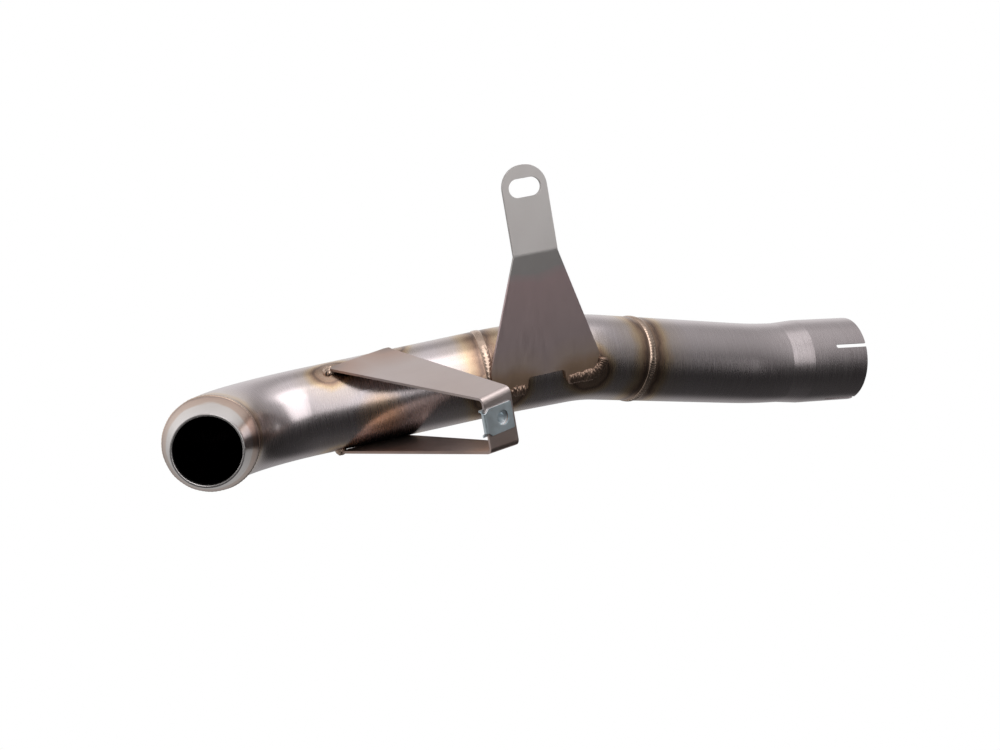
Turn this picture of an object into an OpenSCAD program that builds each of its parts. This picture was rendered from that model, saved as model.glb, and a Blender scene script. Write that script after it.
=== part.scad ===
// Motorcycle link pipe that replaces the catalyst box: a reducing inlet collar, three welded
// lengths of mandrel-bent stainless tube, a hanger plate and a U bracket with a clip nut.
// Millimetres. The origin is the centre of the outlet mouth, +X leaves the outlet along its
// axis and +Z is up as the pipe hangs on the bike. The tube is laid out as a bender would run
// it, from the outlet back to the inlet: straights, and bends that are first clocked about
// the tube's axis.

/* [Tube] */
// Outside diameter of the exhaust tube
tube_od = 50.8; // [45:0.1:56]
// Wall of the tube, the socket and the collar
tube_wall = 1.2; // [1:0.1:2]

/* [Outlet socket] */
// Bore that slips over the silencer's inlet
socket_bore = 51.0; // [49:0.1:54]
// Length of the parallel socket
socket_length = 39; // [30:0.5:45]
// Length of the flare between the tube and the socket
flare_length = 15; // [10:0.5:20]
// Length of the four relief slots
slot_length = 22; // [12:0.5:28]
// Width of the relief slots
slot_width = 2.5; // [1.5:0.1:4]
// Turn of the slots about the socket's axis, in degrees
slot_clock = 26.5; // [0:0.5:90]

/* [Tail tube] */
// Clocking of the tail bend, in degrees
tail_clock = 119.8; // [110:0.1:130]
// Centreline radius of the tail bend
tail_radius = 152.4; // [120:0.1:180]
// Angle of the tail bend, in degrees
tail_bend = 12.2; // [8:0.1:16]
// Straight between the tail bend and the rear weld
tail_straight = 83.9; // [70:0.1:95]

/* [Middle tube] */
// Straight behind the rear weld
middle_rear = 25.5; // [15:0.1:35]
// Clocking of the middle bend, in degrees
middle_clock = -164.2; // [-170:0.1:-158]
// Centreline radius of the middle bend and of the cut-short bend beside it
middle_radius = 76.2; // [70:0.1:82]
// Angle of the middle bend, in degrees
middle_bend = 18.6; // [16:0.1:21]
// Straight that carries the hanger
hanger_straight = 31.1; // [28:0.1:36]
// Clocking of the cut-short bend, in degrees
short_clock = -21.7; // [-30:0.1:-15]
// Angle of the cut-short bend, in degrees
short_bend = 9.1; // [7:0.1:10]
// Straight left in front of the cut-short bend for its weld
short_lead = 3; // [3:0.1:5]

/* [Front tube] */
// Straight that carries the U bracket
front_straight = 102.5; // [98:0.1:112]
// Clocking of the inlet bend, in degrees
front_clock = 162.7; // [155:0.1:170]
// Centreline radius of the inlet bend
front_radius = 57; // [50:0.1:65]
// Angle of the inlet bend, in degrees
front_bend = 86.7; // [80:0.1:92]
// Straight left in front of the inlet bend for its weld
inlet_lead = 3; // [3:0.1:8]

/* [Inlet collar] */
// Outside diameter of the collar's mouth
mouth_od = 38.1; // [34:0.1:42]
// Length of the parallel land at the mouth
mouth_land = 6; // [3:0.5:10]
// Length of the taper
collar_taper = 26; // [20:0.5:34]
// Length of the parallel land at the tube
collar_land = 3; // [3:0.5:6]

/* [Welds] */
// Width of the ring welds
ring_width = 5; // [4:0.1:5.6]
// Height of the ring welds
ring_height = 0.9; // [0.5:0.05:1]
// Radius of the fillet weld along the hanger's feet
fillet_radius = 2.3; // [1.8:0.1:2.8]
// Length of the fillet weld along each of the hanger's feet
foot_weld_length = 31; // [24:0.5:33]
// Distance between the puddles of the fillet welds
puddle_pitch = 3.1; // [2.6:0.1:3.4]
// Radius of the tack welds at the bracket's tips
tack_radius = 3.3; // [2.8:0.1:3.8]
// Depth of the tack welds below the middle of the sheet
tack_sink = 1.4; // [0:0.1:2]
// Distance of the tack welds from the arms' long edges
tack_inset = 1; // [0.5:0.1:3]
// Distance of the tack welds from the arms' ends
tack_setback = 1; // [0.5:0.1:2]

/* [Hanger] */
// Thickness of the hanger plate
hanger_sheet = 2; // [1.5:0.1:3]
// Distance of the hanger's centre from the middle bend, along the tube
hanger_station = 17.5; // [16:0.1:19]
// Clocking of the hanger's upward edge about the tube, in degrees
hanger_clock = 35.3; // [30:0.1:41]
// Turn of the hanger in its own plane, in degrees
hanger_turn = 2.2; // [0:0.1:4]
// Height of the fold above the tube's axis
fold_height = 74.6; // [65:0.1:85]
// Width of the plate at the fold and of the tab
tab_width = 26.4; // [24:0.1:30]
// Width of the plate where it touches the tube
foot_width = 72.8; // [66:0.1:74]
// Length of the tab from the fold to its top
tab_length = 48.6; // [44:0.1:54]
// Angle by which the tab leans back, in degrees
tab_lean = 12.5; // [6:0.1:18]
// Length of the tab's slot
tab_slot_length = 19; // [14:0.1:20]
// Height of the tab's slot
tab_slot_height = 10.4; // [8:0.1:12]
// Height of the slot's centre above the fold
tab_slot_rise = 36; // [30:0.1:38]
// Depth of the feet below the plate's line of contact
foot_drop = 3.2; // [2.5:0.1:5]
// Width of the notch between the feet
notch_width = 22.2; // [16:0.1:28]
// Height of the notch above the line of contact
notch_rise = 3.2; // [2:0.1:6]
// Radius of the notch's inner corners
notch_corner = 2; // [1:0.1:3]
// Radius of the rounds at the feet's outer corners
foot_corner = 12; // [8:0.1:14]
// Inside radius of the fold
fold_r = 4; // [2:0.1:6]
// Width of the flat at the tab's top
tab_flat = 1; // [0.5:0.1:4]

/* [Bracket] */
// Thickness of the bracket sheet
bracket_sheet = 1.5; // [1:0.1:2]
// Distance of the web from the front weld, along the tube
bracket_station = 11.1; // [8:0.1:16]
// Clocking of the bracket's upward side about the tube, in degrees
bracket_clock = 63.1; // [58:0.1:66]
// Lean of the bracket toward the outlet, in degrees
bracket_lean = 28.7; // [24:0.1:32]
// Height of the web over its outer faces
web_height = 32.2; // [28:0.1:36]
// Width of the web
web_width = 19.2; // [18:0.1:23]
// Length of the arms along their back edge
arm_length = 110; // [106:0.1:114]
// Distance by which the arms' back corners stop short of the tube's axis
arm_shortfall = 4.5; // [2:0.1:7]
// How much further the upper arm runs at its front tip
upper_tip_lead = 7; // [4:0.1:10]
// How much further the lower arm runs at its front tip
lower_tip_lead = 11; // [4:0.1:12]
// Radius of the arms' back corners
back_corner_r = 3; // [1:0.1:4]
// Radius of the arms' front corners
tip_corner_r = 2; // [1:0.1:4]
// Angle by which the arms close up toward their front edges, in degrees
arm_pinch = 3.5; // [2:0.1:4]
// Widening of the arm's front edge, in millimetres per millimetre
front_widening = 0.13; // [0.1:0.005:0.16]
// Widening of the arm's back edge, in millimetres per millimetre
back_widening = 0.04; // [0.02:0.005:0.06]

/* [Clip nut] */
// Thickness of the clip's spring steel
clip_sheet = 0.9; // [0.7:0.05:1.2]
// Length of the clip's leaves from the web's edge
clip_length = 17.5; // [16:0.1:18.5]
// Height of the clip's leaves
clip_height = 14.7; // [13:0.1:18]
// Height by which each of the leaves' ears stands past the fold
clip_ear = 2; // [1.5:0.1:3]
// Length of the rear leaf's ears past the web's edge
clip_lip = 2.2; // [1:0.1:3]
// Radius of the leaves' free corners
clip_corner = 1; // [0.5:0.1:2]
// Diameter of the bolt hole in the front leaf
clip_hole = 8; // [7:0.1:9]
// How far the bolt hole lies behind the middle of the front leaf
clip_shift = 2; // [0:0.1:3]
// Minor diameter of the barrel's thread
thread_minor = 5; // [4.5:0.05:5.5]
// Length of the threaded barrel behind the clip
barrel_length = 5; // [4:0.1:7]
// Wall of the barrel's neck, staked in the rear leaf
barrel_neck_wall = 0.7; // [0.5:0.05:1]
// Step from the barrel's neck to its body
barrel_step = 1; // [0.6:0.05:1.5]
// Chamfer at the barrel's end
barrel_chamfer = 0.5; // [0.3:0.05:0.8]
// Height of the bolt hole above the web's centre
clip_rise = 1.8; // [-3:0.1:4]

/* [Hidden] */
$fn = 48;

tube_r = tube_od / 2;
bore_r = tube_r - tube_wall;
socket_r = socket_bore / 2;
mouth_r = mouth_od / 2;
past = 1;
hair = 0.01;
lap = 0.1;
lap_turn = 1;
seat = 0.1;

tail_route = [[socket_length + flare_length], [tail_clock, tail_radius, tail_bend], [tail_straight]];
to_middle_bend = concat(tail_route, [[middle_rear], [middle_clock, middle_radius, middle_bend]]);
middle_route = [[middle_rear], [middle_clock, middle_radius, middle_bend], [hanger_straight],
    [short_clock, middle_radius, short_bend], [short_lead]];
to_front = concat(tail_route, middle_route);
front_route = [[front_straight], [front_clock, front_radius, front_bend], [inlet_lead]];
to_inlet = concat(to_front, front_route);

clip_centre = clip_length / 2 - web_width / 2 + clip_shift;
web_hole = clip_hole + 1;
arm_seat = 0.4;
arm_bend_r = 2;
half_web = web_height / 2 - arm_bend_r - bracket_sheet;
arm_rise = tube_r + arm_seat - half_web - arm_bend_r;
bracket_reach = arm_length * cos(bracket_lean) + arm_shortfall;
upper_tip = arm_length + upper_tip_lead;
lower_tip = arm_length + lower_tip_lead;
arm_splay = atan((arm_rise - web_width / 2 * tan(arm_pinch)) / (arm_length - arm_bend_r));
barrel_neck = thread_minor / 2 + barrel_neck_wall;
barrel_r = barrel_neck + barrel_step;
puddle_seat = 0.5;

function unit(v) = v / norm(v);
function first_steps(route, count) = [for (i = [0:1:count - 1]) route[i]];

// The edges that meet at corner b, as unit vectors, and half the angle between them.
function edge_in(a, b) = unit([a[0] - b[0], a[1] - b[1]]);
function half_angle(a, b, c) = acos(edge_in(a, b) * edge_in(c, b)) / 2;
// The two points where an arc of radius b[2] touches the edges at corner b.
function arc_ends(a, b, c) = b[2] == 0 ? [[b[0], b[1]]] : [
    [b[0], b[1]] + edge_in(a, b) * b[2] / tan(half_angle(a, b, c)),
    [b[0], b[1]] + edge_in(c, b) * b[2] / tan(half_angle(a, b, c))];
function arc_centre(a, b, c) = [b[0], b[1]]
    + unit(edge_in(a, b) + edge_in(c, b)) * b[2] / sin(half_angle(a, b, c));

// A flat outline from corners [x, y, radius]. Each round stands a hair proud of its edges.
module rounded_outline(corners) {
    n = len(corners);
    polygon([for (i = [0:n - 1])
        each arc_ends(corners[(i + n - 1) % n], corners[i], corners[(i + 1) % n])]);
    for (i = [0:n - 1])
        if (corners[i][2] > 0)
            translate(arc_centre(corners[(i + n - 1) % n], corners[i], corners[(i + 1) % n]))
                circle(corners[i][2] + hair);
}

// Carries its children to the far end of a bender's route. A step [length] is a straight and
// a step [clock, radius, angle] a bend toward the clocked frame's -X.
module along(route, step = 0) {
    if (step == len(route))
        children();
    else if (len(route[step]) == 1)
        translate([0, 0, route[step][0]])
            along(route, step + 1) children();
    else
        rotate([0, 0, route[step][0]])
            translate([-route[step][1], 0, 0])
                rotate([0, -route[step][2], 0])
                    translate([route[step][1], 0, 0])
                        along(route, step + 1) children();
}

module from_outlet(route) {
    rotate([0, -90, 0])
        along(route) children();
}

// The section of the tube. Bending draws it in by a hair on both faces, so that each bend
// ends inside the wall of the straights beside it.
module tube_section(drawn, solid) {
    difference() {
        circle(tube_r - drawn);
        if (!solid)
            circle(bore_r + drawn);
    }
}

module tube_step(step, laps, solid) {
    if (len(step) == 1)
        translate([0, 0, -laps[0]])
            linear_extrude(laps[0] + step[0] + laps[1])
                tube_section(0, solid);
    else
        rotate([0, 0, step[0]])
            translate([-step[1], 0, 0])
                rotate([90, 0, 0])
                    rotate_extrude(angle = step[2])
                        translate([step[1], 0])
                            tube_section(hair, solid);
}

// A bent tube, or a solid bar, that follows the steps of a route.
module tube_run(route, solid = false) {
    last = len(route) - 1;
    for (i = [0:last])
        along(first_steps(route, i))
            tube_step(route[i], [i > 0 ? lap : 0, i < last ? lap : 0], solid);
}

// A low crowned weld around the tube, centred on the joint.
module ring_weld() {
    crown = (pow(ring_width / 2, 2) + pow(ring_height, 2)) / (2 * ring_height);
    rotate_extrude()
        intersection() {
            translate([tube_r, -ring_width])
                square([ring_height + past, 2 * ring_width]);
            translate([tube_r + ring_height - crown, 0])
                circle(crown);
        }
}

module inlet_collar() {
    color([0.72, 0.70, 0.68])
        from_outlet(to_inlet)
            rotate_extrude()
                polygon([
                    [bore_r, 0],
                    [tube_r, 0],
                    [tube_r, collar_land],
                    [mouth_r, collar_land + collar_taper],
                    [mouth_r, collar_land + collar_taper + mouth_land],
                    [mouth_r - tube_wall, collar_land + collar_taper + mouth_land],
                    [mouth_r - tube_wall, collar_land + collar_taper],
                    [bore_r, collar_land]]);
}

module inlet_weld() {
    color([0.55, 0.42, 0.33])
        from_outlet(to_inlet)
            ring_weld();
}

module front_tube() {
    color([0.66, 0.62, 0.60])
        from_outlet(to_front)
            tube_run(front_route);
}

module front_weld() {
    color([0.55, 0.42, 0.33])
        from_outlet(to_front)
            ring_weld();
}

module middle_tube() {
    color([0.66, 0.62, 0.60])
        from_outlet(tail_route)
            tube_run(middle_route);
}

module rear_weld() {
    color([0.55, 0.42, 0.33])
        from_outlet(tail_route)
            ring_weld();
}

// The socket and its flare, as a section turned about the axis.
module socket_body() {
    rotate_extrude()
        polygon([
            [socket_r, 0],
            [socket_r + tube_wall, 0],
            [socket_r + tube_wall, socket_length],
            [tube_r, socket_length + flare_length],
            [tube_r, socket_length + flare_length + lap],
            [bore_r, socket_length + flare_length + lap],
            [bore_r, socket_length + flare_length],
            [socket_r, socket_length]]);
}

// One relief slot with a round end, cut through the socket's wall from the mouth.
module relief_slot() {
    rotate([0, 90, 0]) {
        linear_extrude(socket_r + tube_wall + past)
            union() {
                translate([-slot_length + slot_width / 2, 0])
                    circle(slot_width / 2);
                translate([-slot_length + slot_width / 2, -slot_width / 2])
                    square([slot_length - slot_width / 2 + past, slot_width]);
            }
    }
}

module tail_tube() {
    color([0.66, 0.62, 0.60])
        from_outlet([]) {
            difference() {
                socket_body();
                for (turn = [0:90:270])
                    rotate([0, 0, turn + slot_clock])
                        relief_slot();
            }
            along([tail_route[0]])
                tube_run([tail_route[1], tail_route[2]]);
        }
}

// The hanger's own frame: X toward the inlet, Y away from the tube, Z up the plate, with the
// origin on the line where the plate's back meets the tube.
module hanger_frame() {
    from_outlet(concat(to_middle_bend, [[hanger_station]]))
        rotate([0, 0, hanger_clock])
            rotate([0, 90, 0])
                rotate([0, 0, 180])
                    translate([0, tube_r + seat, 0])
                        rotate([0, hanger_turn, 0])
                            children();
}

module hanger_lower() {
    widening = (foot_width - tab_width) / 2 / fold_height;
    foot = foot_width / 2 + widening * foot_drop;
    translate([0, hanger_sheet, 0])
        rotate([90, 0, 0])
            linear_extrude(hanger_sheet)
                difference() {
                    rounded_outline([
                        [-tab_width / 2, fold_height, 0],
                        [-foot, -foot_drop, foot_corner],
                        [foot, -foot_drop, foot_corner],
                        [tab_width / 2, fold_height, 0]]);
                    rounded_outline([
                        [-notch_width / 2, notch_rise, notch_corner],
                        [notch_width / 2, notch_rise, notch_corner],
                        [notch_width / 2 + past, -foot_drop - past, 0],
                        [-notch_width / 2 - past, -foot_drop - past, 0]]);
                }
}

module hanger_tab() {
    slot_end = tab_slot_height / 2;
    top_round = (tab_width - tab_flat) / 2;
    translate([0, hanger_sheet, 0])
        rotate([90, 0, 0])
            linear_extrude(hanger_sheet)
                difference() {
                    rounded_outline([
                        [-tab_width / 2, 0, 0],
                        [tab_width / 2, 0, 0],
                        [tab_width / 2, tab_length, top_round],
                        [-tab_width / 2, tab_length, top_round]]);
                    for (side = [-1, 1])
                        translate([side * (tab_slot_length / 2 - slot_end), tab_slot_rise])
                            circle(slot_end);
                    translate([-tab_slot_length / 2 + slot_end, tab_slot_rise - slot_end])
                        square([tab_slot_length - tab_slot_height, tab_slot_height]);
                }
}

module hanger_plate() {
    color([0.60, 0.55, 0.52])
        hanger_frame() {
            hanger_lower();
            translate([0, -fold_r, fold_height])
                rotate([0, -90, 0])
                    translate([0, 0, hair - tab_width / 2])
                        rotate([0, 0, 90 - tab_lean - lap_turn])
                            rotate_extrude(angle = tab_lean + 2 * lap_turn)
                                translate([fold_r + hair, 0])
                                    square([hanger_sheet - 2 * hair, tab_width - 2 * hair]);
            translate([0, -fold_r, fold_height])
                rotate([tab_lean, 0, 0])
                    translate([0, fold_r, 0])
                        hanger_tab();
        }
}

// A row of overlapping weld puddles through the given points.
module puddles(points, radius) {
    for (p = points)
        translate(p)
            sphere(radius, $fn = 32);
}

// The tube around the hanger as a solid bar, with a band over its ring weld, for cutting the
// fillets.
module middle_core() {
    from_outlet(tail_route)
        tube_run(middle_route, true);
    from_outlet(to_front) {
        cylinder(r = tube_r, h = front_straight);
        translate([0, 0, -ring_width / 2])
            cylinder(r = tube_r + ring_height, h = ring_width);
    }
}

// The middle bend as a solid bar, run on a little under the hanger's foot.
module middle_bend_bar() {
    run_on = 6;
    from_outlet(concat(tail_route, [[middle_rear]]))
        rotate([0, 0, middle_clock])
            translate([-middle_radius, 0, 0])
                rotate([90, 0, 0])
                    rotate_extrude(angle = middle_bend + run_on)
                        translate([middle_radius, 0])
                            circle(tube_r + seat);
}

// A point on a foot's edge, a way along it from the notch: its lower edge, then its corner.
function foot_edge(way) = let (
        widening = (foot_width - tab_width) / 2 / fold_height,
        foot = foot_width / 2 + widening * foot_drop,
        run = foot - notch_width / 2 - foot_corner,
        turn = max(0, way - run) / foot_corner * 180 / PI)
    [notch_width / 2 + min(way, run) + foot_corner * sin(turn),
        foot_corner - foot_drop - foot_corner * cos(turn)];

// A fillet weld along one foot of the hanger, on its lower edge and round its corner. What
// it lies on, given as children, is cut from it.
module foot_weld(side) {
    color([0.50, 0.38, 0.31])
        difference() {
            hanger_frame()
                puddles([for (way = [1.5:puddle_pitch:foot_weld_length]) [
                    side * foot_edge(way)[0], hanger_sheet / 2 - seat, foot_edge(way)[1]]],
                    fillet_radius);
            children();
            hanger_frame()
                hanger_lower();
        }
}

module hanger_left_weld() {
    foot_weld(1)
        middle_core();
}

module hanger_right_weld() {
    foot_weld(-1)
        middle_bend_bar();
}

// The bracket's own frame: X across the web toward the outlet, Y from the web to the tube,
// Z up, with the origin at the centre of the web's outer face.
module bracket_frame() {
    from_outlet(concat(to_front, [[bracket_station]]))
        rotate([0, 0, bracket_clock])
            translate([0, -bracket_reach, 0])
                rotate([0, 90, 0])
                    rotate([0, 0, bracket_lean])
                        children();
}

// The fold and the arm at the web's upper edge. The fold runs obliquely across the sheet, so
// that the arms close up toward their front edges and follow the tube.
module bracket_arm(tip_length) {
    outer = arm_bend_r + bracket_sheet;
    back_run = arm_length - outer;
    tip_run = tip_length - outer;
    translate([half_web * sin(arm_pinch), outer, 0])
        rotate([0, -arm_pinch, 0])
            translate([0, 0, half_web]) {
                rotate([90, 0, 90])
                    translate([0, 0, hair - web_width / 2])
                        rotate([0, 0, 90 + arm_splay])
                            rotate_extrude(angle = 90 - arm_splay)
                                translate([arm_bend_r + hair, 0])
                                    square([bracket_sheet - 2 * hair, web_width - 2 * hair]);
                rotate([arm_splay, 0, 0])
                    translate([0, 0, arm_bend_r])
                        linear_extrude(bracket_sheet)
                            rounded_outline([
                                [-web_width / 2, -lap, 0],
                                [web_width / 2, -lap, 0],
                                [web_width / 2 + back_widening * back_run, back_run, back_corner_r],
                                [-web_width / 2 - front_widening * tip_run, tip_run, tip_corner_r]]);
            }
}

module bracket_sheet_body() {
    rise = half_web * cos(arm_pinch);
    slope = web_width / 2 * sin(arm_pinch);
    side = web_width / 2 * cos(arm_pinch);
    rotate([-90, 0, 0])
        linear_extrude(bracket_sheet)
            polygon([
                [-side, slope - rise - lap],
                [side, -slope - rise - lap],
                [side, slope + rise + lap],
                [-side, rise - slope + lap]]);
    bracket_arm(upper_tip);
    mirror([0, 0, 1])
        bracket_arm(lower_tip);
}

module fairing_bracket() {
    color([0.64, 0.59, 0.58])
        bracket_frame()
            difference() {
                bracket_sheet_body();
                translate([clip_centre, -past, clip_rise])
                    rotate([-90, 0, 0])
                        cylinder(d = web_hole, h = bracket_sheet + 2 * past);
            }
}

// The tube's axis in the bracket's frame.
axis_point = bracket_reach * [sin(bracket_lean), cos(bracket_lean), 0];
axis_way = [cos(bracket_lean), -sin(bracket_lean), 0];
function foot_on_axis(p) = axis_point + axis_way * ((p - axis_point) * axis_way);
function at_radius(p, r) = foot_on_axis(p) + r * unit(p - foot_on_axis(p));

// A tack weld from one corner of an arm down to the tube. The side is 1 on the upper arm.
module arm_tack(corner, side, count) {
    middle = [corner[0], corner[1], side * (bracket_sheet / 2 - tack_sink + arm_seat + tube_r
        + (corner[0] - web_width / 2) * tan(arm_pinch)
        + (corner[1] - arm_length) * tan(arm_splay))];
    reach = norm(middle - foot_on_axis(middle));
    color([0.50, 0.38, 0.31])
        bracket_frame()
            difference() {
                puddles([for (step = [0:count]) at_radius(middle,
                    reach - step / count * (reach - tube_r - puddle_seat))], tack_radius);
                translate(axis_point)
                    rotate([0, 0, -bracket_lean])
                        rotate([0, 90, 0])
                            translate([0, 0, -2 * arm_length])
                                cylinder(r = tube_r, h = 4 * arm_length);
                bracket_sheet_body();
            }
}

function tip_corner(tip_length) = [-web_width / 2 - front_widening * tip_length + tack_inset,
    tip_length - tack_setback];
back_corner = [web_width / 2 + back_widening * arm_length - tack_inset, arm_length - tack_setback];

module upper_tip_weld() {
    arm_tack(tip_corner(upper_tip), 1, 2);
}

module upper_back_weld() {
    arm_tack(back_corner, 1, 1);
}

module lower_tip_weld() {
    arm_tack(tip_corner(lower_tip), -1, 2);
}

module lower_back_weld() {
    arm_tack(back_corner, -1, 1);
}

// The clip: two leaves on the faces of the web, joined by a fold round its front edge.
module clip_nut() {
    edge = web_width / 2 * cos(arm_pinch);
    turn_r = bracket_sheet / 2;
    neck = clip_height - 2 * clip_ear;
    color([0.70, 0.73, 0.76])
        bracket_frame()
            difference() {
                union() {
                    translate([-edge, 0, clip_rise])
                        rotate([90, 0, 0])
                            linear_extrude(clip_sheet)
                                rounded_outline([
                                    [0, -neck / 2, 0],
                                    [clip_ear, -clip_height / 2, 0],
                                    [clip_length, -clip_height / 2, clip_corner],
                                    [clip_length, clip_height / 2, clip_corner],
                                    [clip_ear, clip_height / 2, 0],
                                    [0, neck / 2, 0]]);
                    translate([-edge, bracket_sheet + clip_sheet, clip_rise])
                        rotate([90, 0, 0])
                            linear_extrude(clip_sheet)
                                rounded_outline([
                                    [0, -neck / 2, 0],
                                    [-clip_lip, -neck / 2 - past, 0],
                                    [-clip_lip, -clip_height / 2, 0],
                                    [clip_length, -clip_height / 2, clip_corner],
                                    [clip_length, clip_height / 2, clip_corner],
                                    [-clip_lip, clip_height / 2, 0],
                                    [-clip_lip, neck / 2 + past, 0],
                                    [0, neck / 2, 0]]);
                    translate([-edge, turn_r, clip_rise - neck / 2])
                        rotate([0, 0, 90])
                            rotate_extrude(angle = 180)
                                translate([turn_r, 0])
                                    square([clip_sheet, neck]);
                }
                translate([clip_centre, -past - clip_sheet, clip_rise])
                    rotate([-90, 0, 0])
                        cylinder(d = clip_hole, h = bracket_sheet + 2 * past);
                translate([clip_centre, bracket_sheet - past, clip_rise])
                    rotate([-90, 0, 0])
                        cylinder(r = barrel_neck, h = clip_sheet + 2 * past);
            }
}

// The threaded barrel, staked through the clip's rear leaf.
module clip_barrel() {
    color([0.62, 0.64, 0.66])
        bracket_frame()
            translate([clip_centre, bracket_sheet, clip_rise])
                rotate([-90, 0, 0])
                    rotate_extrude()
                        polygon([
                            [thread_minor / 2, 0],
                            [barrel_neck, 0],
                            [barrel_neck, clip_sheet],
                            [barrel_r, clip_sheet],
                            [barrel_r, clip_sheet + barrel_length - barrel_chamfer],
                            [barrel_r - barrel_chamfer, clip_sheet + barrel_length],
                            [thread_minor / 2, clip_sheet + barrel_length]]);
}

inlet_collar();
inlet_weld();
front_tube();
front_weld();
middle_tube();
rear_weld();
tail_tube();
hanger_plate();
hanger_left_weld();
hanger_right_weld();
fairing_bracket();
upper_tip_weld();
upper_back_weld();
lower_tip_weld();
lower_back_weld();
clip_nut();
clip_barrel();
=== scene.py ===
import math
import bpy
import numpy as np
from mathutils import Matrix, Vector


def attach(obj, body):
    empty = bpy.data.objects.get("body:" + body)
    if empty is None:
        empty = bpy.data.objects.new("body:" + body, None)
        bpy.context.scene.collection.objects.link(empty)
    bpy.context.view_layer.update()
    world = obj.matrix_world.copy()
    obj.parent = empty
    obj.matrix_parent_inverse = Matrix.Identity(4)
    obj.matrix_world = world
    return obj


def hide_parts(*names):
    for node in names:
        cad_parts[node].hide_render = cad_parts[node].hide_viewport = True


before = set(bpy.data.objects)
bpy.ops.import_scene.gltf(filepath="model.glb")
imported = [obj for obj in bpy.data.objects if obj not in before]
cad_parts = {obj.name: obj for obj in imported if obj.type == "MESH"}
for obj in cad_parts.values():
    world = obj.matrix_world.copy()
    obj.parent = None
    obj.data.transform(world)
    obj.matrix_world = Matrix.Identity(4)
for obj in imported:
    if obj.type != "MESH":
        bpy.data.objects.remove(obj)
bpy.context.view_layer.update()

# Camera
# It stands where the photograph was taken: in front of the pipe, toward the inlet and a
# little above it, looking slightly down with no roll.
camera_data = bpy.data.cameras.new("camera")
camera = bpy.data.objects.new("camera", camera_data)
bpy.context.scene.collection.objects.link(camera)
stand = Vector((-0.60323, -0.88070, 0.13715))
forward = Vector((0.37401, 0.91671, -0.14059)).normalized()
right = forward.cross(Vector((0, 0, 1))).normalized()
above = right.cross(forward)
camera.matrix_world = Matrix((
    (right.x, above.x, -forward.x, stand.x),
    (right.y, above.y, -forward.y, stand.y),
    (right.z, above.z, -forward.z, stand.z),
    (0, 0, 0, 1)))
camera_data.sensor_width = 36
camera_data.lens = 57.67
camera_data.clip_start = 0.05
camera_data.clip_end = 60
bpy.context.scene.camera = camera
bpy.context.scene.view_settings.view_transform = "Standard"

# Studio
# White surroundings to the camera and a dark studio to the reflections: pale above and behind,
# dark in front and to the right. Soft boxes stand in front and above, with a small card beside.
def add_ramp(tree, value, stops):
    """Turns a value into the colours, or greys, of stops given as (place, colour)."""
    node = tree.nodes.new("ShaderNodeValToRGB")
    while len(node.color_ramp.elements) < len(stops):
        node.color_ramp.elements.new(0.5)
    for element, (place, colour) in zip(node.color_ramp.elements, stops):
        red, green, blue = colour if isinstance(colour, tuple) else (colour,) * 3
        element.position = place
        element.color = (red, green, blue, 1)
    tree.links.new(value, node.inputs[0])
    return node.outputs["Color"]


def show_camera(tree, seen, unseen, output):
    """Gives camera rays one shader and every other ray the other."""
    path = tree.nodes.new("ShaderNodeLightPath")
    mix = tree.nodes.new("ShaderNodeMixShader")
    tree.links.new(path.outputs["Is Camera Ray"], mix.inputs[0])
    tree.links.new(unseen.outputs[0], mix.inputs[1])
    tree.links.new(seen.outputs[0], mix.inputs[2])
    tree.links.new(mix.outputs[0], output.inputs["Surface"])


world = bpy.data.worlds.new("studio")
bpy.context.scene.world = world
world.use_nodes = True
room = world.node_tree
room.nodes.clear()
way = room.nodes.new("ShaderNodeSeparateXYZ")
room.links.new(room.nodes.new("ShaderNodeTexCoord").outputs["Generated"], way.inputs[0])
height = room.nodes.new("ShaderNodeMapRange")
height.inputs["From Min"].default_value = -1
room.links.new(way.outputs["Z"], height.inputs["Value"])
swing_right = room.nodes.new("ShaderNodeMath")
swing_right.operation = "MULTIPLY_ADD"
swing_right.inputs[1].default_value = -0.85
room.links.new(way.outputs["X"], swing_right.inputs[0])
room.links.new(way.outputs["Y"], swing_right.inputs[2])
depth = room.nodes.new("ShaderNodeMapRange")
depth.interpolation_type = "SMOOTHSTEP"
depth.inputs["From Min"].default_value = -0.25
depth.inputs["From Max"].default_value = 0.35
room.links.new(swing_right.outputs[0], depth.inputs["Value"])
front_wall = add_ramp(room, height.outputs[0], (
    (0.0, 0.10), (0.08, 0.05), (0.25, 0.025), (0.42, 0.04), (0.5, 0.11), (0.6, 0.18),
    (0.8, 0.42), (1.0, 0.62)))
back_wall = add_ramp(room, height.outputs[0], (
    (0.0, 0.27), (0.15, 0.40), (0.35, 0.44), (0.48, 0.70), (0.55, 0.92), (0.74, 0.86),
    (0.88, 0.50), (1.0, 0.55)))
walls = room.nodes.new("ShaderNodeMix")
walls.data_type = "RGBA"
room.links.new(depth.outputs[0], walls.inputs["Factor"])
room.links.new(front_wall, walls.inputs["A"])
room.links.new(back_wall, walls.inputs["B"])
reflected = room.nodes.new("ShaderNodeBackground")
room.links.new(walls.outputs["Result"], reflected.inputs["Color"])
backdrop = room.nodes.new("ShaderNodeBackground")
backdrop.inputs["Color"].default_value = (1, 1, 1, 1)
show_camera(room, backdrop, reflected, room.nodes.new("ShaderNodeOutputWorld"))

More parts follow.
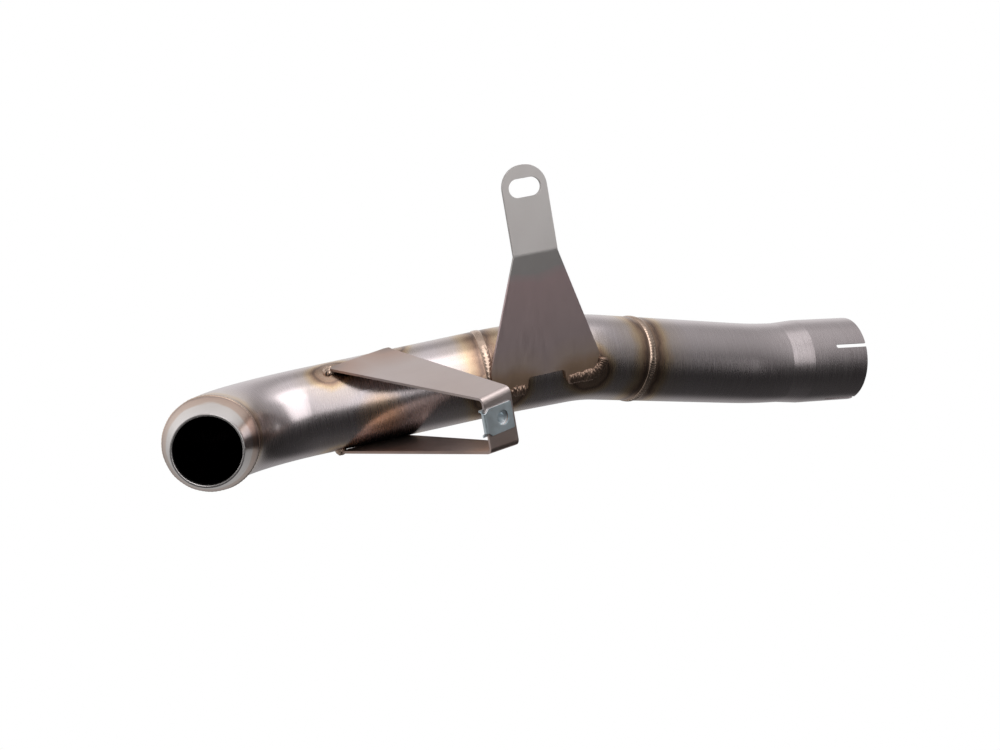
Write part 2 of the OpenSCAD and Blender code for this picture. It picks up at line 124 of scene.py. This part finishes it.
bpy.ops.mesh.primitive_plane_add(size=12, location=(-0.2, 0, -0.32))
floor = bpy.context.object
floor.name = "floor"
floor_paint = bpy.data.materials.new("floor")
floor_paint.use_nodes = True
floor_tree = floor_paint.node_tree
floor_tree.nodes.clear()
white = floor_tree.nodes.new("ShaderNodeEmission")
white.inputs["Color"].default_value = (1, 1, 1, 1)
show_camera(floor_tree, white, floor_tree.nodes.new("ShaderNodeBsdfTransparent"),
            floor_tree.nodes.new("ShaderNodeOutputMaterial"))
floor.data.materials.append(floor_paint)

pipe_middle = (-0.23, -0.03, 0.0)
for name, place, aim, size, power in (
        ("front box", (-0.14, -0.95, 0.54), pipe_middle, (0.92, 1.20), 5.6),
        ("upper box", (-0.16, -0.42, 1.02), pipe_middle, (0.90, 0.50), 2.0),
        ("side card", (0.62, -0.37, -0.06), pipe_middle, (0.14, 0.30), 0.12),
        ("top box", (-0.25, -0.05, 1.1), (-0.23, 0, 0), (1.5, 0.9), 1.5)):
    light = bpy.data.lights.new(name, "AREA")
    light.shape = "RECTANGLE"
    light.size, light.size_y = size
    light.energy = power
    box = bpy.data.objects.new(name, light)
    box.location = place
    box.rotation_mode = "QUATERNION"
    box.rotation_quaternion = (Vector(aim) - Vector(place)).to_track_quat("-Z", "Y")
    bpy.context.scene.collection.objects.link(box)

# Tubes
# Three lengths of 2 inch stainless tube, mandrel bent, belt brushed round and butt welded end to
# end, laid out as a bender would, from the outlet back to the inlet. Beside every weld the heat
# has left brown and violet, then copper and straw. Lengths are in metres, angles in degrees.
tube_radius = 0.0254
socket_and_flare = 0.054
tail_bend = (119.8, 0.1524, 12.2)
tail_straight = 0.0839
middle_rear_straight = 0.0255
middle_bend = (-164.2, 0.0762, 18.6)
hanger_straight = 0.0311
cut_short_bend = (-21.7, 0.0762, 9.1)
weld_lead = 0.003
front_straight = 0.1025
inlet_clock, inlet_radius, inlet_angle = 162.7, 0.057, 86.7


def run_end(place, steps):
    """Carries a frame along straights (length,) and bends (clock, radius, angle), each bend
    turning toward the clocked frame's -X."""
    for step in steps:
        if len(step) == 1:
            place = place @ Matrix.Translation((0, 0, step[0]))
        else:
            clock, radius, angle = step
            place = (place @ Matrix.Rotation(math.radians(clock), 4, "Z")
                     @ Matrix.Translation((-radius, 0, 0))
                     @ Matrix.Rotation(-math.radians(angle), 4, "Y")
                     @ Matrix.Translation((radius, 0, 0)))
    return place


at_outlet = Matrix.Rotation(math.radians(-90), 4, "Y")
at_rear_weld = run_end(at_outlet, [(socket_and_flare,), tail_bend, (tail_straight,)])
at_middle_bend = run_end(at_rear_weld, [(middle_rear_straight,), middle_bend])
at_front_weld = run_end(at_middle_bend, [(hanger_straight,), cut_short_bend, (weld_lead,)])
at_inlet_bend = run_end(at_front_weld, [(front_straight,)])
at_inlet_weld = run_end(at_inlet_bend, [(inlet_clock, inlet_radius, inlet_angle), (weld_lead,)])

hanger_along, hanger_clock, hanger_standoff, hanger_lean = 0.0175, 35.3, 0.0255, 2.2
hanger_place = (at_middle_bend @ Matrix.Translation((0, 0, hanger_along))
                @ Matrix.Rotation(math.radians(hanger_clock), 4, "Z")
                @ Matrix.Rotation(math.radians(90), 4, "Y")
                @ Matrix.Rotation(math.radians(180), 4, "Z")
                @ Matrix.Translation((0, hanger_standoff, 0))
                @ Matrix.Rotation(math.radians(hanger_lean), 4, "Y"))
bracket_along, bracket_clock, bracket_reach, bracket_lean = 0.0111, 63.1, 0.10099, 28.7
bracket_place = (at_front_weld @ Matrix.Translation((0, 0, bracket_along))
                 @ Matrix.Rotation(math.radians(bracket_clock), 4, "Z")
                 @ Matrix.Translation((0, -bracket_reach, 0))
                 @ Matrix.Rotation(math.radians(90), 4, "Y")
                 @ Matrix.Rotation(math.radians(bracket_lean), 4, "Z"))


def add_math(tree, operation, first, second=None):
    """Does one sum with numbers or sockets."""
    node = tree.nodes.new("ShaderNodeMath")
    node.operation = operation
    for socket, value in zip(node.inputs, (first, second)):
        if isinstance(value, (int, float)):
            socket.default_value = value
        elif value is not None:
            tree.links.new(value, socket)
    return node.outputs[0]


def add_vector_math(tree, operation, first, second=None):
    """Does one sum with vectors or sockets. A dot product and a length give a number."""
    node = tree.nodes.new("ShaderNodeVectorMath")
    node.operation = operation
    for socket, value in zip(node.inputs, (first, second)):
        if isinstance(value, tuple):
            socket.default_value = value
        elif value is not None:
            tree.links.new(value, socket)
    return node.outputs["Value"] if operation in ("DOT_PRODUCT", "LENGTH") else node.outputs[0]


def add_noise(tree, vector, scale, detail, roughness=0.5):
    """Gives noise that lies about a half."""
    node = tree.nodes.new("ShaderNodeTexNoise")
    node.inputs["Scale"].default_value = scale
    node.inputs["Detail"].default_value = detail
    node.inputs["Roughness"].default_value = roughness
    tree.links.new(vector, node.inputs["Vector"])
    return node.outputs["Fac"]


def wobble(tree, noise, width):
    """Moves noise to lie about zero and makes it as wide as given."""
    return add_math(tree, "MULTIPLY", add_math(tree, "SUBTRACT", noise, 0.5), width)


def add_map(tree, value, low, high, to_low, to_high):
    """Carries the range from low to high onto another, and holds the value at its ends."""
    node = tree.nodes.new("ShaderNodeMapRange")
    for socket, limit in (("From Min", low), ("From Max", high),
                          ("To Min", to_low), ("To Max", to_high)):
        node.inputs[socket].default_value = limit
    tree.links.new(value, node.inputs["Value"])
    return node.outputs[0]


def add_mix(tree, blend, factor, first, second):
    """Mixes two colours, of which each and the factor may be a value or a socket."""
    node = tree.nodes.new("ShaderNodeMix")
    node.data_type = "RGBA"
    node.blend_type = blend
    for socket, value in zip(("Factor", "A", "B"), (factor, first, second)):
        if isinstance(value, bpy.types.NodeSocket):
            tree.links.new(value, node.inputs[socket])
        else:
            node.inputs[socket].default_value = value
    return node.outputs["Result"]


def new_group(name, inputs, outputs):
    """A node group with its named sockets, and the two nodes that hold them."""
    group = bpy.data.node_groups.new(name, "ShaderNodeTree")
    for side, sockets in (("INPUT", inputs), ("OUTPUT", outputs)):
        for label, kind in sockets:
            group.interface.new_socket(name=label, in_out=side, socket_type="NodeSocket" + kind)
    return (group, group.nodes.new("NodeGroupInput").outputs,
            group.nodes.new("NodeGroupOutput").inputs)


def place_group(tree, group, values):
    """Puts a group into a material with its own values and gives its outputs."""
    node = tree.nodes.new("ShaderNodeGroup")
    node.node_tree = group
    for label, value in values.items():
        if isinstance(value, bpy.types.NodeSocket):
            tree.links.new(value, node.inputs[label])
        else:
            node.inputs[label].default_value = value
    return node.outputs


# How far a point lies from a ring weld: along the tube's axis, and four times as far for what
# lies more than two tube radii from the weld's centre.
ring_distance, given, made = new_group(
    "distance from a ring weld", (("Point", "Vector"), ("Centre", "Vector"), ("Axis", "Vector")),
    (("Distance", "Float"),))
offset = add_vector_math(ring_distance, "SUBTRACT", given["Point"], given["Centre"])
level = add_vector_math(ring_distance, "DOT_PRODUCT", offset, given["Axis"])
outside = add_math(ring_distance, "MAXIMUM", add_math(
    ring_distance, "SUBTRACT", add_vector_math(ring_distance, "LENGTH", offset), 0.05), 0.0)
ring_distance.links.new(add_math(
    ring_distance, "ADD", add_math(ring_distance, "ABSOLUTE", level),
    add_math(ring_distance, "MULTIPLY", outside, 4.0)), made["Distance"])

# How far a point lies outside a ball about a short weld, stretched as a short weld heats less.
spot_distance, given, made = new_group(
    "distance from a short weld", (("Point", "Vector"), ("Centre", "Vector"), ("Reach", "Float")),
    (("Distance", "Float"),))
offset = add_vector_math(spot_distance, "SUBTRACT", given["Point"], given["Centre"])
outside = add_math(spot_distance, "MAXIMUM", add_math(
    spot_distance, "SUBTRACT", add_vector_math(spot_distance, "LENGTH", offset),
    given["Reach"]), 0.0)
spot_distance.links.new(add_math(spot_distance, "MULTIPLY", outside, 1.7), made["Distance"])

# The ragged edge of the tint, in metres to add to a distance.
ragged_edge, given, made = new_group(
    "ragged edge of the tint", (("Point", "Vector"),), (("Shift", "Float"), ("Fray", "Float")))
fine = add_noise(ragged_edge, given["Point"], 130, 4)
broad = add_noise(ragged_edge, given["Point"], 22, 2)
ragged_edge.links.new(add_math(ragged_edge, "ADD", wobble(ragged_edge, fine, 0.006),
                               wobble(ragged_edge, broad, 0.012)), made["Shift"])
ragged_edge.links.new(wobble(ragged_edge, fine, 0.012), made["Fray"])

# Brush marks along the grain and dull patches, which darken the steel and roughen it.
brushing, given, made = new_group(
    "brush marks", (("Point", "Vector"), ("Grain", "Vector"), ("Dull", "Color"),
                    ("Roughness", "Float")),
    (("Wear", "Color"), ("Roughness", "Float"), ("Marks", "Float")))
marks = add_noise(brushing, given["Grain"], 1.0, 6, 0.65)
patches = add_noise(brushing, given["Point"], 38, 3, 0.6)
worn = add_math(brushing, "ADD", add_math(brushing, "MULTIPLY", marks, 0.5),
                add_math(brushing, "MULTIPLY", patches, 0.5))
brushing.links.new(add_mix(brushing, "MIX", add_map(brushing, worn, 0.3, 0.62, 0, 1),
                           given["Dull"], (1, 1, 1, 1)), made["Wear"])
brushing.links.new(add_math(brushing, "ADD", given["Roughness"], add_map(
    brushing, marks, 0.3, 0.7, -0.03, 0.04)), made["Roughness"])
brushing.links.new(marks, made["Marks"])

# The small round of a cut or folded edge.
rounding, given, made = new_group("rounded edge", (("Radius", "Float"),), (("Normal", "Vector"),))
round_edge = rounding.nodes.new("ShaderNodeBevel")
round_edge.samples = 4
rounding.links.new(given["Radius"], round_edge.inputs["Radius"])
rounding.links.new(round_edge.outputs[0], made["Normal"])


def painted_duct_shade(tree):
    """Painted shade inside the duct and between parts: the colour darkens where little of the
    room is in sight. It stays in the material, because it reads what lies round the piece."""
    open_sky = tree.nodes.new("ShaderNodeAmbientOcclusion")
    open_sky.samples = 6
    open_sky.inputs["Distance"].default_value = 0.09
    return add_ramp(tree, open_sky.outputs["AO"], (
        (0.10, (0.03, 0.025, 0.022)), (0.38, (1.0, 1.0, 1.0))))


def heat_distance(tree, point, rings, spots):
    """The least distance from any ring weld (centre, axis) or short weld (centre, reach)."""
    found = [place_group(tree, ring_distance, {"Point": point, "Centre": centre, "Axis": axis})[0]
             for centre, axis in rings]
    found += [place_group(tree, spot_distance, {"Point": point, "Centre": centre,
                                                "Reach": reach})[0] for centre, reach in spots]
    least = found[0]
    for other in found[1:]:
        least = add_math(tree, "MINIMUM", least, other)
    return least


def bent_grain(tree, point, place, radius, scale_along, scale_across):
    """Brush coordinates that follow a bend: the distance along the tube, as the angle about the
    bend's centre times its radius, or the plain distance before the bend."""
    centre = place @ Vector((-radius, 0, 0))
    arm = add_vector_math(tree, "SUBTRACT", point, tuple(centre))
    ahead = add_vector_math(tree, "DOT_PRODUCT", arm, tuple(place.col[2][:3]))
    outward = add_vector_math(tree, "DOT_PRODUCT", arm, tuple(place.col[0][:3]))
    turned = add_math(tree, "MAXIMUM", add_math(tree, "ARCTAN2", ahead, outward), 0.0)
    station = add_math(tree, "ADD", add_math(tree, "MULTIPLY", turned, radius),
                       add_math(tree, "MINIMUM", ahead, 0.0))
    joined = tree.nodes.new("ShaderNodeCombineXYZ")
    tree.links.new(add_math(tree, "MULTIPLY", station, scale_along), joined.inputs["X"])
    return add_vector_math(tree, "ADD", joined.outputs[0], add_vector_math(
        tree, "MULTIPLY", point, (scale_across,) * 3))


def metal_paint(name, tints, roughness, brush, rings=(), spots=(), tint_width=0.030,
                dull=0.90, edge=0.0, hollow=False, bend=None, stain_and_highlight=None):
    """Brushed metal of one colour, or of colours that follow the distance from its welds over
    tint_width. Brush gives the scale of the marks along X, Y and Z, bend is the frame and
    radius that they follow instead, and stain_and_highlight the centre, reach, fade and colour of
    a copper patch that is partly heat stain and partly painted highlight. Hollow adds painted
    shade where the piece is closed in."""
    paint = bpy.data.materials.new(name)
    paint.use_nodes = True
    tree = paint.node_tree
    shader = tree.nodes["Principled BSDF"]
    shader.inputs["Metallic"].default_value = 1
    point = tree.nodes.new("ShaderNodeTexCoord").outputs["Object"]
    if rings or spots:
        ragged = place_group(tree, ragged_edge, {"Point": point})
        near = add_math(tree, "ADD", heat_distance(tree, point, rings, spots), ragged["Shift"])
        colour = add_ramp(tree, add_math(tree, "DIVIDE", near, tint_width), tints)
    else:
        colour = (*tints, 1)
    # Painted highlight: a bright copper patch, heat stain brightened to stand in for light.
    if stain_and_highlight:
        centre, reach, fade, copper = stain_and_highlight
        ragged = place_group(tree, ragged_edge, {"Point": point})
        near = add_math(tree, "ADD", heat_distance(tree, point, (), ((centre, reach),)),
                        ragged["Fray"])
        cover = add_ramp(tree, add_math(tree, "DIVIDE", near, fade), (
            (0.0, 0.75), (0.4, 0.5), (1.0, 0.0)))
        colour = add_mix(tree, "MIX", cover, colour, copper)
    if bend:
        grain = bent_grain(tree, point, *bend, brush[0], brush[1])
    else:
        grain = add_vector_math(tree, "MULTIPLY", point, brush)
    finish = place_group(tree, brushing, {
        "Point": point, "Grain": grain, "Dull": (dull, dull - 0.015, dull - 0.015, 1),
        "Roughness": roughness})
    colour = add_mix(tree, "MULTIPLY", 1.0, colour, finish["Wear"])
    # Painted shade: hollow pieces are darkened where they are closed in.
    if hollow:
        colour = add_mix(tree, "MULTIPLY", 1.0, colour, painted_duct_shade(tree))
    tree.links.new(colour, shader.inputs["Base Color"])
    tree.links.new(finish["Roughness"], shader.inputs["Roughness"])
    bump = tree.nodes.new("ShaderNodeBump")
    bump.inputs["Strength"].default_value = 0.035
    bump.inputs["Distance"].default_value = 0.0002
    tree.links.new(finish["Marks"], bump.inputs["Height"])
    if edge:
        tree.links.new(place_group(tree, rounding, {"Radius": edge})["Normal"],
                       bump.inputs["Normal"])
    tree.links.new(bump.outputs[0], shader.inputs["Normal"])
    return paint


def weld_site(place):
    """Centre and axis of a ring weld, from the frame in which it lies."""
    return tuple(place.translation), tuple(place.col[2][:3])


def site(place, corner):
    """A point of a frame, in the object's coordinates."""
    return tuple(place @ Vector(corner))


def dress(node, paint):
    """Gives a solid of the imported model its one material."""
    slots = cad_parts[node].data.materials
    slots.clear()
    slots.append(paint)


rear_site, front_site, inlet_site = (weld_site(place) for place in (
    at_rear_weld, at_front_weld, at_inlet_weld))
left_foot = (site(hanger_place, (0.028, 0, -0.002)), 0.012)
right_foot = (site(hanger_place, (-0.028, 0, -0.002)), 0.010)
upper_tip = site(bracket_place, (-0.0232, 0.116, 0.0245))
upper_back = site(bracket_place, (0.012, 0.109, 0.0255))
lower_tip = site(bracket_place, (-0.0235, 0.120, -0.0245))
lower_back = site(bracket_place, (0.012, 0.109, -0.0255))
tube_tints = ((0.0, (0.46, 0.33, 0.25)), (0.10, (0.40, 0.27, 0.20)), (0.17, (0.22, 0.15, 0.12)),
              (0.25, (0.40, 0.27, 0.19)), (0.36, (0.60, 0.45, 0.31)), (0.55, (0.60, 0.52, 0.49)),
              (1.0, (0.62, 0.555, 0.565)))
tube_roughness = 0.27
tube_brush = (1400, 60, 60)
straight_paint = metal_paint("tube steel", tube_tints, tube_roughness, tube_brush,
                             rings=(rear_site, front_site, inlet_site),
                             spots=(left_foot, right_foot), hollow=True)
# The bent tube's copper patch below the bracket is heat tint from the lower arm's weld, made
# brighter as a painted highlight.
bent_paint = metal_paint(
    "bent tube steel", tube_tints, tube_roughness, tube_brush, rings=(front_site, inlet_site),
    spots=(left_foot, (upper_tip, 0.005), (upper_back, 0.006), (lower_tip, 0.005),
           (lower_back, 0.006)),
    dull=0.94, hollow=True,
    stain_and_highlight=((-0.3290, -0.0335, -0.0110), 0.005, 0.019, (0.90, 0.60, 0.39, 1)),
    bend=(at_inlet_bend @ Matrix.Rotation(math.radians(inlet_clock), 4, "Z"), inlet_radius))
dress("tail_tube", straight_paint)
dress("middle_tube", straight_paint)
dress("front_tube", bent_paint)

# Inlet collar
# A reducer turned from stainless bar and welded to the front tube, silver at its mouth and
# brown beside the weld.
collar_tints = ((0.0, (0.50, 0.32, 0.24)), (0.08, (0.30, 0.20, 0.16)),
                (0.16, (0.50, 0.34, 0.26)), (0.36, (0.56, 0.41, 0.33)),
                (0.46, (0.70, 0.64, 0.61)), (1.0, (0.75, 0.71, 0.70)))
dress("inlet_collar", metal_paint("collar steel", collar_tints, 0.23, (60, 1400, 60),
                                  rings=(inlet_site,), tint_width=0.036, edge=0.0008,
                                  hollow=True))

# Ring welds
# Three tungsten-arc beads of stainless filler round the butt joints: low crowns of overlapping
# crescents, each one pool's freezing edge. The front one is washed out flatter.
bead_paint = metal_paint("weld bead", (0.60, 0.45, 0.36), 0.22, (300, 300, 300))


def placed(points, place):
    """Carries an array of points from a frame's own coordinates to the object's."""
    matrix = np.array(place)
    return points @ matrix[:3, :3].T + matrix[:3, 3]


def closed_surface(name, points, paint, capped=False):
    """Makes a piece from a grid of points, row by row. Each row is a closed ring. The rows close
    on each other as well, or, capped, each end row is drawn together to its middle."""
    rows, ring = points.shape[:2]
    verts = points.reshape(-1, 3)
    row = np.arange(rows - 1 if capped else rows)[:, None]
    place = np.arange(ring)[None, :]
    next_row = (row + 1) % rows
    next_place = (place + 1) % ring
    faces = np.stack([row * ring + place, row * ring + next_place,
                      next_row * ring + next_place, next_row * ring + place],
                     axis=-1).reshape(-1, 4).tolist()
    if capped:
        verts = np.vstack([verts, points[0].mean(0), points[-1].mean(0)])
        here, beyond = np.arange(ring), (np.arange(ring) + 1) % ring
        last = (rows - 1) * ring
        first_middle = np.full(ring, rows * ring)
        faces += np.stack([first_middle, beyond, here], axis=-1).tolist()
        faces += np.stack([first_middle + 1, last + here, last + beyond], axis=-1).tolist()
    mesh = bpy.data.meshes.new(name)
    mesh.from_pydata(verts.tolist(), [], faces)
    mesh.polygons.foreach_set("use_smooth", np.ones(len(mesh.polygons), bool))
    mesh.update()
    mesh.materials.append(paint)
    piece = bpy.data.objects.new(name, mesh)
    bpy.context.scene.collection.objects.link(piece)
    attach(piece, "root")
    return piece


def ring_bead(name, place, node, seed, pools=92, ripple=0.00022):
    """A crowned band round the tube. Over its width from -1 to 1 it rises as the square root of
    1 - width squared, and a sawtooth round the tube, led by the width squared, adds the
    crescents. Slow waves widen and narrow it."""
    rng = np.random.default_rng(seed)
    half_width, crown_height, bedding, underside = 0.00245, 0.00062, 0.00004, 0.0252
    around = np.linspace(0, 2 * np.pi, 1840, endpoint=False)[:, None]
    across = np.linspace(-1, 1, 15)[None, :]
    wander = sum(rng.uniform(0.02, 0.05) * np.sin(waves * around + rng.uniform(0, 6.28))
                 for waves in (3, 5, 9, 14))
    phase = around * pools / (2 * np.pi) - 0.9 * across ** 2 + wander * 6
    crescent = (phase % 1.0) ** 1.6
    crown = np.sqrt(np.clip(1 - across ** 2, 0, 1))
    rise = crown_height * crown * (0.80 + 2 * wander) + ripple * crown * crescent
    radius = tube_radius - bedding + rise
    along = across * half_width * (1 + 0.6 * wander) + 0 * around
    top = np.stack([radius * np.cos(around), radius * np.sin(around), along], -1)
    rims = along[:, ::14]
    base = np.stack([underside * np.cos(around) + 0 * rims,
                     underside * np.sin(around) + 0 * rims, rims], -1)[:, ::-1]
    bead = closed_surface(name, placed(np.concatenate([top, base], axis=1), place), bead_paint)
    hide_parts(node)


ring_bead("rear_ring", at_rear_weld, "rear_weld", 1)
ring_bead("front_ring", at_front_weld, "front_weld", 2, pools=64, ripple=0.00010)
ring_bead("inlet_ring", at_inlet_weld, "inlet_weld", 3)

# Hanger
# A flat plate with a leaning, slotted tab, laser cut from 2 mm stainless sheet and fillet
# welded to the middle tube along its two feet, which the heat has browned.
plate_tints = ((0.0, (0.40, 0.27, 0.19)), (0.07, (0.48, 0.34, 0.25)),
               (0.17, (0.58, 0.465, 0.42)), (0.34, (0.575, 0.465, 0.465)),
               (0.90, (0.595, 0.455, 0.46)), (0.97, (0.55, 0.465, 0.465)),
               (1.0, (0.50, 0.475, 0.465)))
foot_heat = tuple((site(hanger_place, (across, 0, -0.004)), 0.007)
                  for across in (-0.031, -0.018, 0.018, 0.031))
dress("hanger_plate", metal_paint("hanger steel", plate_tints, 0.52, (500, 500, 30),
                                  spots=foot_heat, tint_width=0.106, dull=0.94, edge=0.0002))
fillet_paint = metal_paint("fillet weld", (0.38, 0.26, 0.20), 0.38, (900, 900, 900), dull=0.45)


def foot_bead(name, side, node, seed):
    """A flat bead along a foot's lower edge and round its corner: an oval about each point of
    the path, which swells and steps with every pool and is roughened by waves, with its ends
    drawn in as a quarter circle. The path runs straight from the notch, then along an arc."""
    rng = np.random.default_rng(seed)
    half_width, rise, pool, start, finish = 0.0037, 0.0021, 0.0016, 0.0015, 0.0294
    plate_width, tab_width, plate_height = 0.0728, 0.0264, 0.0746
    drop, half_notch, corner, off_sheet = 0.0032, 0.0111, 0.012, 0.0009
    foot_end = plate_width / 2 + (plate_width - tab_width) / 2 / plate_height * drop
    straight = foot_end - half_notch - corner
    ways = np.linspace(start, finish, 60)
    turned = np.clip(ways - straight, 0, None) / corner
    edge_x = half_notch + np.minimum(ways, straight) + corner * np.sin(turned)
    edge_z = corner - drop - corner * np.cos(turned)
    edge = placed(np.stack([side * edge_x, np.full_like(ways, off_sheet), edge_z], -1),
                  hanger_place)
    run = np.concatenate([[0], np.cumsum(np.linalg.norm(np.diff(edge, axis=0), axis=1))])
    fine = np.linspace(0, run[-1], max(60, int(run[-1] / 0.00012)))
    path = np.stack([np.interp(fine, run, edge[:, k]) for k in range(3)], -1)
    way = np.gradient(path, axis=0)
    way /= np.linalg.norm(way, axis=1)[:, None]
    outward = np.array(hanger_place.col[1][:3])
    up = outward - (way @ outward)[:, None] * way
    up /= np.linalg.norm(up, axis=1)[:, None]
    beside = np.cross(way, up)
    turn = np.linspace(0, 2 * np.pi, 40, endpoint=False)[None, :]
    wander = sum(rng.uniform(0.02, 0.045) * np.sin(fine * waves + rng.uniform(0, 6.28))
                 for waves in (240, 420, 900))[:, None]
    lead = 0.5 * (1 - np.cos(turn))
    step = ((fine[:, None] / pool + 0.9 * lead + wander * 4) % 1.0) ** 1.5
    to_end = np.minimum(fine, run[-1] - fine)
    close = np.sqrt(np.clip(1 - np.clip(1 - to_end / rise, 0, 1) ** 2, 0.003, 1))[:, None]
    rough = sum(rng.uniform(0.02, 0.05)
                * np.sin(fine[:, None] * along + turn * about + rng.uniform(0, 6.28))
                for along, about in ((1500, 3), (2600, -5), (3900, 7), (900, 4)))
    size = (close * (0.90 + 2 * wander + 0.10 * step + rough))[..., None]
    points = path[:, None, :] + size * (
        rise * np.cos(turn)[..., None] * up[:, None, :]
        + half_width * np.sin(turn)[..., None] * beside[:, None, :])
    bead = closed_surface(name, points, fillet_paint, capped=True)
    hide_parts(node)


foot_bead("left_foot_bead", 1, "hanger_left_weld", 4)
foot_bead("right_foot_bead", -1, "hanger_right_weld", 5)

# Bracket
# One strip of 1.5 mm stainless sheet folded into a U: a web for the clip nut and two splayed
# arms, tack welded over and under the front tube. The lower arm is darkened with painted shade.
# Brown near the tacks is heat tint; the same brown, spread over the lower arm, is painted shade.
bracket_heat_tints_and_shade = ((0.0, (0.38, 0.30, 0.27)), (0.2, (0.56, 0.40, 0.34)),
                 (0.6, (0.64, 0.54, 0.51)), (1.0, (0.68, 0.605, 0.60)))
tip_heat = tuple((tip, 0.001) for tip in (upper_tip, upper_back, lower_tip, lower_back))
# Painted shade: wide spots along the lower arm pull its colour toward the dark brown stop.
lower_arm_painted_shade = tuple((site(bracket_place, (0, along, -0.024)), 0.013)
                       for along in (0.030, 0.050, 0.070, 0.090))
dress("fairing_bracket", metal_paint(
    "bracket steel", bracket_heat_tints_and_shade, 0.38, (60, 500, 500), spots=tip_heat + lower_arm_painted_shade,
    tint_width=0.085, dull=0.92, edge=0.00018))


def tack(name, corner, node, seed, radius=0.0033):
    """A lump of weld metal from a corner of an arm down to the tube: an ellipsoid, stretched
    toward the tube's axis, swollen by a few waves and creased by fine steps."""
    rng = np.random.default_rng(seed)
    lean = math.radians(bracket_lean)
    axis_point = bracket_reach * np.array([math.sin(lean), math.cos(lean), 0])
    axis_way = np.array([math.cos(lean), -math.sin(lean), 0])
    corner = np.array(corner)
    down = axis_point + axis_way * ((corner - axis_point) @ axis_way) - corner
    to_axis = np.linalg.norm(down)
    down /= to_axis
    run = max(to_axis - (tube_radius + 0.0005), 0.0002)
    polar = np.linspace(0.02, np.pi - 0.02, 90)[:, None]
    turn = np.linspace(0, 2 * np.pi, 160, endpoint=False)[None, :]
    unit = np.stack([np.sin(polar) * np.cos(turn), np.sin(polar) * np.sin(turn),
                     np.cos(polar) + 0 * turn], -1)
    swell = 0.95 + sum(rng.uniform(0.012, 0.03) * np.sin(unit @ rng.normal(0, spread, 3)
                       + rng.uniform(0, 6.28)) for spread in (3, 5, 8, 13))
    creases = 0.03 * (((unit @ rng.normal(0, 1, 3)) * 5) % 1.0)
    points = (corner + down * run / 2 + unit * (radius * (swell + creases))[..., None]
              + (unit @ down)[..., None] * down * run / 2)
    lump = closed_surface(name, placed(points, bracket_place), bead_paint, capped=True)
    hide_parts(node)


tack("upper_tip_tack", (-0.0243, 0.1165, 0.0228), "upper_tip_weld", 6, 0.0037)
tack("upper_back_tack", (0.0130, 0.109, 0.0243), "upper_back_weld", 7, 0.0028)
tack("lower_tip_tack", (-0.02433, 0.120, -0.0241), "lower_tip_weld", 8)
tack("lower_back_tack", (0.0130, 0.109, -0.02526), "lower_back_weld", 9)

# Clip nut
# A spring-steel clip pushed over the web's edge with a threaded barrel staked in its rear
# leaf, both zinc plated.
zinc_paint = metal_paint("zinc plate", (0.82, 0.92, 0.97), 0.42, (200, 200, 200),
                         dull=0.78, edge=0.00025)
dress("clip_nut", zinc_paint)


def threaded_barrel():
    """A turned barrel whose bore carries a thread: the bore's radius follows a triangle wave
    along the axis that advances one pitch a turn."""
    axis_x, axis_z, near_end, far_end, pitch = 0.00115, 0.0018, 0.0015, 0.0074, 0.001
    crest_radius, thread_depth = 0.0025, 0.00042
    sweep = np.linspace(0, 2 * np.pi, 96, endpoint=False)[:, None]
    bore_at = np.linspace(near_end, far_end, 150)[None, :]
    tooth = np.abs(((bore_at / pitch - sweep / (2 * np.pi)) % 1.0) * 2 - 1)
    outer_at = np.array([far_end, far_end, 0.0069, 0.0024, 0.0024, near_end])[None, :]
    outer = np.array([0.0031, 0.0037, 0.0042, 0.0042, 0.0032, 0.0032])[None, :]
    radius = np.concatenate([crest_radius + thread_depth * tooth, outer + 0 * sweep], axis=1)
    level = np.concatenate([bore_at + 0 * sweep, outer_at + 0 * sweep], axis=1)
    points = np.stack([axis_x + radius * np.cos(sweep), level,
                       axis_z + radius * np.sin(sweep)], -1)
    barrel = closed_surface("barrel", placed(points, bracket_place), zinc_paint)
    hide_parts("clip_barrel")


threaded_barrel()
